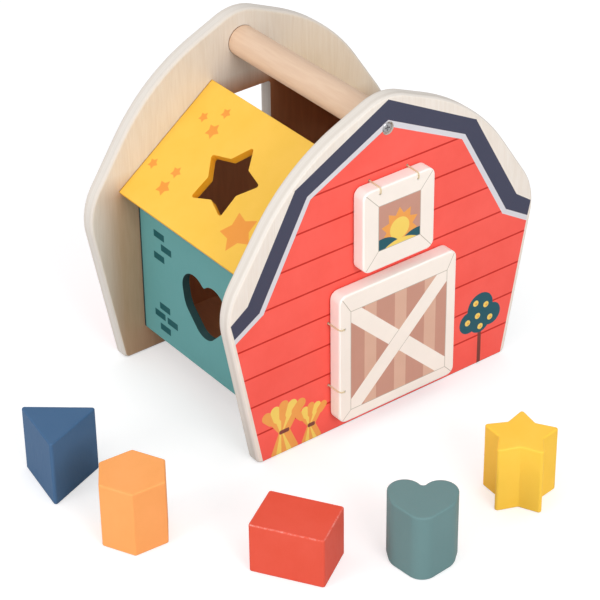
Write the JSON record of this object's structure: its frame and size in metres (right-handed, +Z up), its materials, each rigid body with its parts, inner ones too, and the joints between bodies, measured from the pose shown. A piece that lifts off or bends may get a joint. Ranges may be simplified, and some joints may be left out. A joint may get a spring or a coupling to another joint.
{
  "type": "wooden shape sorter house",
  "caption": "Wooden barn-shaped box with a carrying handle, cut-out shapes in its roofs and walls, a hinged door and window leaf, and loose blocks that fit the holes.",
  "frame": {"origin": "middle of the front board's underside, on the surface that the house stands on", "axes": "+X to the right along the front, +Y from the front to the back, +Z up"},
  "size_m": [0.3013, 0.2709, 0.1974],
  "materials": {
    "painted_board": "matt paint on plywood",
    "teal_paint": "matt paint on wood",
    "yellow_paint": "matt paint on wood",
    "bare_plywood": "sanded plywood",
    "bare_beech": "sanded beech",
    "zinc_screw": "zinc plated",
    "cord": "thin twisted cord",
    "cream_paint": "matt paint on wood",
    "orange_paint": "matt paint on wood",
    "blue_paint": "matt paint on wood",
    "red_paint": "matt paint on wood"
  },
  "bodies": {
    "house": {"front_board": "painted_board", "back_board": "painted_board", "left_wall": "teal_paint", "right_wall": "teal_paint", "left_roof": "yellow_paint", "right_roof": "yellow_paint", "floor_panel": "bare_plywood", "handle_dowel": "bare_beech", "handle_screws": "zinc_screw", "left_wall_pins": "bare_beech", "right_wall_pins": "bare_beech", "left_roof_pins": "bare_beech", "right_roof_pins": "bare_beech", "floor_pins": "bare_beech", "barn_door_lower_cord": "cord", "barn_door_upper_cord": "cord", "window_left_cord": "cord", "window_right_cord": "cord"},
    "barn_door": {"barn_door": "cream_paint"},
    "window_leaf": {"window_leaf": "cream_paint"},
    "star_block": {"star_block": "yellow_paint"},
    "heart_block": {"heart_block": "teal_paint"},
    "hexagon_block": {"hexagon_block": "orange_paint"},
    "triangle_block": {"triangle_block": "blue_paint"},
    "cuboid_block": {"cuboid_block": "red_paint"}
  },
  "joints": [
    {"name": "barn_door_hinge", "type": "hinge", "parent": "house", "child": "barn_door", "pos_m": [-0.0398, -0.0049, 0.0516], "axis": [0, 0, -1], "range_deg": [0, 90], "deforming": ["barn_door_lower_cord", "barn_door_upper_cord"]},
    {"name": "window_hinge", "type": "hinge", "parent": "house", "child": "window_leaf", "pos_m": [0.0007, -0.0049, 0.1512], "axis": [-1, 0, 0], "range_deg": [0, 90], "deforming": ["window_left_cord", "window_right_cord"]},
    {"name": "star_lift", "type": "slide", "parent": "house", "child": "star_block", "axis": [0, 0, 1], "range_m": [0, 0.1]},
    {"name": "heart_lift", "type": "slide", "parent": "house", "child": "heart_block", "axis": [0, 0, 1], "range_m": [0, 0.1]},
    {"name": "hexagon_lift", "type": "slide", "parent": "house", "child": "hexagon_block", "axis": [0, 0, 1], "range_m": [0, 0.1]},
    {"name": "triangle_lift", "type": "slide", "parent": "house", "child": "triangle_block", "axis": [0, 0, 1], "range_m": [0, 0.1]},
    {"name": "cuboid_lift", "type": "slide", "parent": "house", "child": "cuboid_block", "axis": [0, 0, 1], "range_m": [0, 0.1]}
  ]
}
